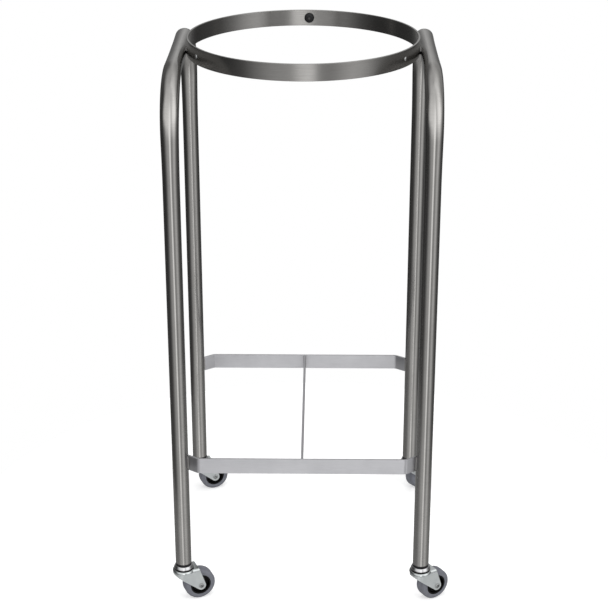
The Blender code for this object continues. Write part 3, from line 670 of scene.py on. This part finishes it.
sleeve = turned("sleeve", [(STEM_BORE, collar_low, 0), (tube_radius, collar_low, COLLAR_ROUND),
                           (tube_radius, collar_top, COLLAR_ROUND), (grip_radius, collar_top, 0),
                           (grip_radius, sleeve_high.z, SMALL_ROUND), (STEM_BORE, sleeve_high.z, 0)],
                ROUND_SIDES)
for corner in CORNERS:
    dress(copy_piece(sleeve, f"{corner}_sleeve", Matrix.Translation(legs[corner])), black_rubber, "stand",
          "bumper_rubber", f"{corner}_stem_sleeve")
    for inner in ("stem", "stem_nut"):
        frame["nodes"][f"{corner}_{inner}"].material_slots[0].material = bright_zinc
bpy.data.objects.remove(sleeve)

# Swivel heads. A dome of pressed steel, bright with chrome plating and fixed to the stem, covers the balls on
# which the fork turns. Painted shade darkens its lower edge, in the groove where it meets the crown.
RACE_WALL = 0.0024
RACE_DOME = 0.0023              # how far the top draws in
RACE_SHOULDER = 0.0007          # rounding of the top's edge
RACE_LIP = 0.0020               # upright part at its lower edge
RACE_LIP_ROUND = 0.0016
RACE_UNDERCUT = 0.0012          # rounding of the lower edge
RACE_CEILING = 0.0621           # underside of the dome, over the floor
# Painted shade along the dome's lower edge, in the groove above the crown
DOME_EDGE_SHADE = (0.035, 0.034, 0.034, 1)
EDGE_SHADE_LOW = 0.0015             # over the lower edge, where the painted shade begins to thin out
EDGE_SHADE_HIGH = 0.0029            # where the painted shade has faded out

race_low, race_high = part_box("front_left_upper_race")
race_radius = (race_high.x - race_low.x) / 2


def height_of(tree):
    """The height of a material's surface over the floor."""
    place = add_node(tree, "TexCoord")
    return add_node(tree, "SeparateXYZ", Vector=place.outputs["Object"]).outputs["Z"]


plated_chrome = mottled("plated_chrome", (0.60, 0.60, 0.61), (0.66, 0.66, 0.67), 0.04, 0.08,
                        patch=0.006, grain=0.0004, relief=0.02, metallic=1.0)
# Painted shade on the dome's lower edge, fading out upwards.
paint_shade(plated_chrome, height_of(plated_chrome.node_tree), race_low.z + EDGE_SHADE_LOW, race_low.z + EDGE_SHADE_HIGH,
      DOME_EDGE_SHADE)
race = turned("race", [(STEM_BORE, RACE_CEILING, 0), (STEM_BORE, collar_low, 0),
                       (race_radius - RACE_DOME, collar_low, RACE_SHOULDER),
                       (race_radius, race_low.z + RACE_LIP, RACE_LIP_ROUND),
                       (race_radius, race_low.z, RACE_UNDERCUT),
                       (race_radius - RACE_WALL, race_low.z, SMALL_ROUND),
                       (race_radius - RACE_WALL, RACE_CEILING, SMALL_ROUND)], ROUND_SIDES)
for corner in CORNERS:
    dress(copy_piece(race, f"{corner}_swivel_dome", Matrix.Translation(legs[corner])), plated_chrome, "stand",
          "race_chrome", f"{corner}_upper_race")
    frame["nodes"][f"{corner}_ball_ring"].material_slots[0].material = bright_zinc
bpy.data.objects.remove(race)

# Forks. Each is pressed from one piece of steel sheet and zinc plated: a hood with a round front and folded
# upper edges, two slanting legs with round ends, and a round crown with a turned-down rim.
TYRE_WIDTH = 0.022
FORK_SHEET = 0.002
FORK_SIDE_GAP = 0.00125         # tyre to fork leg
FORK_FOLD = 0.0032              # outside of the fold
FORK_NOSE_INSET = 0.0003        # round front, in from the crown's rim
FORK_TIP_RADIUS = 0.0075
FORK_REAR_LEAN = 0.0035         # top of the leg's rear edge, ahead of the axle
FORK_FRONT_DEPTH = 0.0054       # fork's front edge under the crown's top
CROWN_RADIUS = 0.01798
CROWN_RIM = 0.0040
CROWN_ROUND = 0.0034
CROWN_RISE = 0.0004             # crown over the folded sheet
SWIVEL_BORE = 0.0055
AXLE_BORE = 0.0033
FORK_SIDES = 96
FORK_EDGE = 0.00022             # rounding of the sheet's cut edges
FORK_EDGE_STEPS = 2
FORK_REACH = 0.07192            # goes past every side of the fork
FORK_METAL = 0.7                # how far the plating shines like bare metal on the legs
CROWN_SHEEN = 0.12              # roughness of the drawn crown, which is smoother than the legs
SHEEN_EDGE = 0.0012             # half of the height over which the sheen changes

crown_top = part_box("front_left_fork")[1].z
sheet_top = crown_top - CROWN_RISE
wheel_radius = joints["front_left_roll"]["pos_m"][2]
trail_length = trail.length
fork_inside = TYRE_WIDTH / 2 + FORK_SIDE_GAP
fork_outside = fork_inside + FORK_SHEET
fork_low = wheel_radius - 2 * FORK_TIP_RADIUS


def hood(name, half_width, front, top, fold):
    """A block with a round front and rounded upper edges: the fork's outside, or the room inside it."""
    middle = front + half_width
    bpy.ops.mesh.primitive_cylinder_add(vertices=FORK_SIDES, radius=half_width, depth=top - fork_low,
                                        location=(middle, 0, (top + fork_low) / 2))
    piece = open_piece(name)
    bpy.ops.mesh.bisect(plane_co=(middle, 0, 0), plane_no=(1, 0, 0), use_fill=True, clear_outer=True)
    pick("faces", lambda place: place.x > middle - MERGE_DISTANCE)
    extend((FORK_REACH, 0, 0))
    pick("edges", lambda place: place.z > top - MERGE_DISTANCE)
    bpy.ops.mesh.bevel(offset=fold, segments=ROUND_STEPS, affect="EDGES")
    close_piece()
    return piece


def side_outline():
    """The fork's outline from the side, as a thick slab: a block at the crown, wrapped with a round toe."""
    rear = trail_length - FORK_REAR_LEAN
    front = -CROWN_RADIUS - FORK_SHEET
    low = crown_top - FORK_FRONT_DEPTH
    high = sheet_top + FORK_SHEET
    bpy.ops.mesh.primitive_cube_add(size=1, location=((front + rear) / 2, 0, (low + high) / 2),
                                    scale=(rear - front, FORK_REACH, high - low))
    piece = open_piece("side_outline")
    bpy.ops.mesh.primitive_cylinder_add(vertices=FORK_SIDES, radius=FORK_TIP_RADIUS, depth=FORK_REACH,
                                        location=(trail_length, 0, wheel_radius),
                                        rotation=(math.pi / 2, 0, 0))
    bpy.ops.mesh.select_all(action="SELECT")
    bpy.ops.mesh.convex_hull()
    close_piece()
    return piece


def drill(radius, place, rotation=(0, 0, 0)):
    """A round tool for a hole through a piece."""
    bpy.ops.mesh.primitive_cylinder_add(vertices=ROUND_SIDES, radius=radius, depth=FORK_REACH,
                                        location=place, rotation=rotation)
    return bpy.context.object


fork_zinc = mottled("fork_zinc", (0.58, 0.61, 0.615), (0.67, 0.70, 0.70), 0.30, 0.42,
                    patch=0.012, grain=0.0006, relief=0.15)
tree = fork_zinc.node_tree
shader = tree.nodes["Principled BSDF"]
rim_height = crown_top - FORK_FRONT_DEPTH
drawn = add_node(tree, "MapRange", _0=height_of(tree), _1=rim_height - SHEEN_EDGE, _2=rim_height + SHEEN_EDGE)
sheen = add_node(tree, "Mix", {"data_type": "FLOAT"}, _0=drawn.outputs[0],
                 _2=shader.inputs["Roughness"].links[0].from_socket, _3=CROWN_SHEEN)
metal = add_node(tree, "MapRange", _0=drawn.outputs[0], _3=FORK_METAL, _4=1.0)
tree.links.new(sheen.outputs[0], shader.inputs["Roughness"])
tree.links.new(metal.outputs[0], shader.inputs["Metallic"])
nose = FORK_NOSE_INSET - CROWN_RADIUS
fork = hood("fork", fork_outside, nose, sheet_top, FORK_FOLD)
combine(fork, hood("hollow", fork_inside, nose + FORK_SHEET, sheet_top - FORK_SHEET, FORK_FOLD - FORK_SHEET),
        "DIFFERENCE")
combine(fork, side_outline(), "INTERSECT")
crown = turned("crown", [(SWIVEL_BORE, crown_top - FORK_SHEET, 0),
                         (CROWN_RADIUS - FORK_SHEET, crown_top - FORK_SHEET, SMALL_ROUND),
                         (CROWN_RADIUS - FORK_SHEET, crown_top - CROWN_RIM, SMALL_ROUND),
                         (CROWN_RADIUS, crown_top - CROWN_RIM, SMALL_ROUND),
                         (CROWN_RADIUS, crown_top, CROWN_ROUND), (SWIVEL_BORE, crown_top, 0)], ROUND_SIDES)
combine(fork, crown, "UNION")
combine(fork, drill(SWIVEL_BORE, (0, 0, sheet_top)), "DIFFERENCE")
combine(fork, drill(AXLE_BORE, (trail_length, 0, wheel_radius), (math.pi / 2, 0, 0)), "DIFFERENCE")
apply_modifier(fork, "BEVEL", width=FORK_EDGE, segments=FORK_EDGE_STEPS, limit_method="ANGLE",
               angle_limit=SHARP_ANGLE, use_clamp_overlap=False)
smooth(fork)
swivels = {corner: Matrix.Translation(legs[corner]) @ Matrix.Rotation(headings[corner], 4, "Z")
           for corner in CORNERS}
for corner in CORNERS:
    dress(copy_piece(fork, f"{corner}_fork_pressing", swivels[corner]), fork_zinc, f"{corner}_caster",
          "fork_zinc", f"{corner}_fork")
bpy.data.objects.remove(fork)

# Wheels. A grey rubber tyre is moulded round a black plastic hub, which turns on a bush. The axle through the
# bush is a plated pin, riveted over outside both fork legs.
TYRE_THICKNESS = 0.0084
TYRE_SHOULDER = 0.0049
HUB_RIM = 0.0022
HUB_INSET = 0.0006              # hub's rim, in from the tyre's side
HUB_WEB = 0.006
HUB_BORE = 0.0048
HUB_BOSS = 0.0074
HUB_BOSS_ROUND = 0.0006
HUB_SIDE_GAP = 0.0003           # boss to fork leg
HUB_FILLET = 0.0018
AXLE_RADIUS = 0.003
AXLE_HEAD_RADIUS = 0.0042
AXLE_HEAD_HEIGHT = 0.0014
AXLE_HEAD_GAP = 0.0001          # head to fork leg
AXLE_BOSS_RADIUS = 0.0011       # round middle of the riveted head
AXLE_BOSS_DROP = 0.0003         # middle of the head under its rim
AXLE_GROOVE_RADIUS = 0.0028     # groove round it
AXLE_GROOVE = 0.0030
AXLE_HEAD_ROUND = 0.0008
WHEEL_SIDES = 128

hub_radius = wheel_radius - TYRE_THICKNESS
rim_half = TYRE_WIDTH / 2 - HUB_INSET
boss_half = fork_inside - HUB_SIDE_GAP
axle_seat = fork_outside + AXLE_HEAD_GAP
axle_top = axle_seat + AXLE_HEAD_HEIGHT
boss_top = axle_top - AXLE_BOSS_DROP
groove_floor = axle_top - AXLE_GROOVE


def both_ways(half):
    """A profile and its mirror image below it."""
    return [(radius, -height, rounding) for radius, height, rounding in half] + half[::-1]


grey_rubber = mottled("grey_rubber", (0.145, 0.150, 0.175), (0.190, 0.195, 0.222), 0.50, 0.70,
                      patch=0.008, grain=0.0005, relief=0.30)
black_plastic = mottled("black_plastic", (0.003, 0.003, 0.003), (0.006, 0.006, 0.006), 0.45, 0.60,
                        patch=0.006, grain=0.0005, relief=0.20, specular=DULL_SPECULAR)
tyre = turned("tyre", both_ways([(wheel_radius, TYRE_WIDTH / 2, TYRE_SHOULDER),
                                 (hub_radius, TYRE_WIDTH / 2, SMALL_ROUND)]), WHEEL_SIDES)
hub = turned("hub", both_ways([(HUB_BORE, boss_half, 0), (HUB_BOSS, boss_half, HUB_BOSS_ROUND),
                               (HUB_BOSS, HUB_WEB / 2, HUB_FILLET),
                               (hub_radius - HUB_RIM, HUB_WEB / 2, HUB_FILLET),
                               (hub_radius - HUB_RIM, rim_half, SMALL_ROUND),
                               (hub_radius, rim_half, SMALL_ROUND)]), WHEEL_SIDES)
axle = turned("axle", both_ways([(0, boss_top, 0), (AXLE_BOSS_RADIUS, boss_top, SMALL_ROUND),
                                 (AXLE_BOSS_RADIUS, groove_floor, SMALL_ROUND),
                                 (AXLE_GROOVE_RADIUS, groove_floor, SMALL_ROUND),
                                 (AXLE_GROOVE_RADIUS, axle_top, SMALL_ROUND),
                                 (AXLE_HEAD_RADIUS, axle_top, AXLE_HEAD_ROUND),
                                 (AXLE_HEAD_RADIUS, axle_seat, 0), (AXLE_RADIUS, axle_seat, 0)]), PIN_SIDES)
across = Matrix.Translation((trail_length, 0, wheel_radius)) @ Matrix.Rotation(math.pi / 2, 4, "X")
for corner in CORNERS:
    place = swivels[corner] @ across
    dress(copy_piece(tyre, f"{corner}_tyre_ring", place), grey_rubber, f"{corner}_wheel", "tyre_rubber",
          f"{corner}_tyre")
    dress(copy_piece(hub, f"{corner}_hub_moulding", place), black_plastic, f"{corner}_wheel", "hub_plastic",
          f"{corner}_hub")
    dress(copy_piece(axle, f"{corner}_axle_pin", place), bright_zinc, f"{corner}_caster", "zinc",
          f"{corner}_axle")
    frame["nodes"][f"{corner}_axle_bush"].material_slots[0].material = bright_zinc
for pattern in (tyre, hub, axle):
    bpy.data.objects.remove(pattern)

# Floor, light and camera. A small pale floor catches the shadow; the light is soft, from both sides in front
# and from above. Beyond the floor, reflections show a studio that is light in front and dark at the sides.
FLOOR_RADIUS = 0.62
FLOOR_SIDES = 96
FLOOR_COLOUR = (0.8, 0.8, 0.8, 1)
FLOOR_GLOW = 0.45               # lifts the lit floor to white where it is seen
FLOOR_CLEAR = 0.88              # share of the reflected light that comes through the floor
WHITE = (1, 1, 1, 1)
FILL_LEVEL = 0.45               # even light from all round
HAZE = (0.36, 0.36, 0.36, 1)    # pale floor, far below
HAZE_START = -66                # heights in degrees between which it gives way to the studio
HAZE_END = -16
ECHO = (0.32, 0.32, 0.32, 1)    # even, dim studio in a reflection of a reflection
ECHO_DEPTH = 1.5                # between the first and the second reflection
# Levels of light by the heading in degrees, from the rear over the left, the front and the right
LOW_STUDIO = ((-180, 0.20), (-142, 0.05), (-80, 0.04), (-60, 0.11), (-45, 0.32), (-30, 0.50), (-10, 0.56),
              (-3, 1.25), (9, 1.35), (15, 0.42), (28, 0.38), (48, 0.74), (60, 0.68), (78, 0.28), (96, 0.10),
              (142, 0.05), (180, 0.20))
MID_STUDIO = ((-180, 0.40), (-160, 0.10), (-80, 0.05), (-52, 0.26), (-34, 0.72), (-10, 0.95), (-3, 1.40),
              (9, 1.45), (18, 0.55), (32, 0.80), (50, 1.15), (64, 0.95), (84, 0.38), (104, 0.15), (160, 0.10),
              (180, 0.40))
HIGH_STUDIO = ((-180, 0.62), (-162, 0.16), (-96, 0.05), (-82, 0.12), (-66, 0.74), (-50, 1.05), (-10, 1.25),
               (8, 1.60), (22, 0.85), (38, 1.45), (64, 1.65), (84, 0.90), (104, 0.35), (160, 0.42),
               (180, 0.62))
TOP_STUDIO = ((-180, 0.65), (-120, 0.62), (-60, 0.80), (0, 0.92), (30, 0.86), (72, 1.20), (110, 1.00),
              (180, 0.65))
# Each higher ring of levels, with the heights in degrees between which it takes over
STUDIO_RINGS = ((MID_STUDIO, -16, 4), (HIGH_STUDIO, 0, 20), (TOP_STUDIO, 30, 68))
# Each lamp's place, size and power
LAMPS = {"left_soft_lamp": ((-1.6, -2.0, 2.0), 1.2, 26), "right_soft_lamp": ((1.8, -1.8, 2.0), 1.2, 34),
         "top_soft_lamp": ((0.0, 0.3, 2.8), 1.6, 20)}
LAMP_AIM = Vector((0, 0, 0.3))


def any_of(first, *others):
    """A value of 1 where one of the values is 1."""
    for other in others:
        first = add_node(tree, "Math", {"operation": "MAXIMUM"}, _0=first, _1=other).outputs[0]
    return first


floor_material, tree = new_material("pale_floor")
bpy.ops.mesh.primitive_circle_add(vertices=FLOOR_SIDES, radius=FLOOR_RADIUS, fill_type="NGON",
                                  location=(0, 0, 0))
floor = bpy.context.object
floor.name = "floor"
path = add_node(tree, "LightPath")
seen = any_of(path.outputs["Is Camera Ray"], path.outputs["Is Transmission Ray"],
              path.outputs["Is Glossy Ray"])
lift = add_node(tree, "Math", {"operation": "MULTIPLY"}, _0=seen, _1=FLOOR_GLOW)
glow = add_node(tree, "Emission", Strength=lift.outputs[0])
paper = add_node(tree, "BsdfDiffuse", Color=FLOOR_COLOUR)
solid = add_node(tree, "AddShader", _0=glow.outputs[0], _1=paper.outputs[0])
clear = add_node(tree, "BsdfTransparent")
thin = add_node(tree, "Math", {"operation": "MULTIPLY"}, _0=path.outputs["Is Glossy Ray"], _1=FLOOR_CLEAR)
both = add_node(tree, "MixShader", _0=thin.outputs[0], _1=solid.outputs[0], _2=clear.outputs[0])
tree.links.new(both.outputs[0], tree.nodes["Material Output"].inputs["Surface"])
floor.data.materials.append(floor_material)

world = bpy.data.worlds.new("studio")
world.use_nodes = True
bpy.context.scene.world = world
tree = world.node_tree
path = add_node(tree, "LightPath")
heading = add_node(tree, "TexCoord")
part = add_node(tree, "SeparateXYZ", Vector=heading.outputs["Generated"])
front = add_node(tree, "Math", {"operation": "MULTIPLY"}, _0=part.outputs["Y"], _1=-1.0)
turn = add_node(tree, "Math", {"operation": "ARCTAN2"}, _0=part.outputs["X"], _1=front.outputs[0])
share = add_node(tree, "MapRange", _0=turn.outputs[0], _1=-math.pi, _2=math.pi)
rise = add_node(tree, "Math", {"operation": "ARCSINE"}, _0=part.outputs["Z"])


def light_ring(levels):
    """A node that gives a grey level for each heading round the stand."""
    ramp = add_node(tree, "ValToRGB", Fac=share.outputs[0])
    stops = ramp.color_ramp.elements
    while len(stops) < len(levels):
        stops.new(0.5)
    for stop, (degrees, level) in zip(stops, levels):
        stop.position = degrees / 360 + 0.5
        stop.color = (level, level, level, 1)
    return ramp.outputs[0]


def over(lower, upper, start, end):
    """A change from a lower to an upper level of light between two heights, in degrees."""
    blend = add_node(tree, "MapRange", {"interpolation_type": "SMOOTHSTEP"}, _0=rise.outputs[0],
                     _1=math.radians(start), _2=math.radians(end))
    return add_node(tree, "Mix", {"data_type": "RGBA"}, _0=blend.outputs[0], _6=lower, _7=upper).outputs[2]


pattern = light_ring(LOW_STUDIO)
for levels, start, end in STUDIO_RINGS:
    pattern = over(pattern, light_ring(levels), start, end)
pattern = over(HAZE, pattern, HAZE_START, HAZE_END)
echo = add_node(tree, "Math", {"operation": "GREATER_THAN"}, _0=path.outputs["Glossy Depth"], _1=ECHO_DEPTH)
pattern = add_node(tree, "Mix", {"data_type": "RGBA"}, _0=echo.outputs[0], _6=pattern, _7=ECHO).outputs[2]
studio = add_node(tree, "Background", Color=pattern, Strength=1.0)
white = add_node(tree, "Background", Color=WHITE, Strength=1.0)
fill = add_node(tree, "Background", Color=WHITE, Strength=FILL_LEVEL)
lit = add_node(tree, "MixShader", _0=path.outputs["Is Glossy Ray"], _1=fill.outputs[0], _2=studio.outputs[0])
seen = any_of(path.outputs["Is Camera Ray"], path.outputs["Is Transmission Ray"])
shown = add_node(tree, "MixShader", _0=seen, _1=lit.outputs[0], _2=white.outputs[0])
tree.links.new(shown.outputs[0], tree.nodes["World Output"].inputs["Surface"])

for name, (place, size, power) in LAMPS.items():
    lamp_data = bpy.data.lights.new(name, "AREA")
    lamp_data.size = size
    lamp_data.energy = power
    lamp = bpy.data.objects.new(name, lamp_data)
    bpy.context.collection.objects.link(lamp)
    lamp.location = place
    lamp.rotation_euler = (LAMP_AIM - Vector(place)).to_track_quat("-Z", "Y").to_euler()
    lamp.visible_glossy = False

CAMERA_PLACE = Vector((0.014851, -2.430337, 1.454323))
CAMERA_PITCH = math.radians(22.698)
CAMERA_YAW = math.radians(-0.685)
CAMERA_LENS = 95.66
camera = bpy.data.objects.new("camera", bpy.data.cameras.new("camera"))
bpy.context.collection.objects.link(camera)
camera.data.lens = CAMERA_LENS
camera.location = CAMERA_PLACE
ahead = Vector((math.sin(CAMERA_YAW) * math.cos(CAMERA_PITCH), math.cos(CAMERA_YAW) * math.cos(CAMERA_PITCH),
                -math.sin(CAMERA_PITCH)))
camera.rotation_euler = ahead.to_track_quat("-Z", "Y").to_euler()
bpy.context.scene.camera = camera
bpy.context.scene.view_settings.view_transform = "Standard"
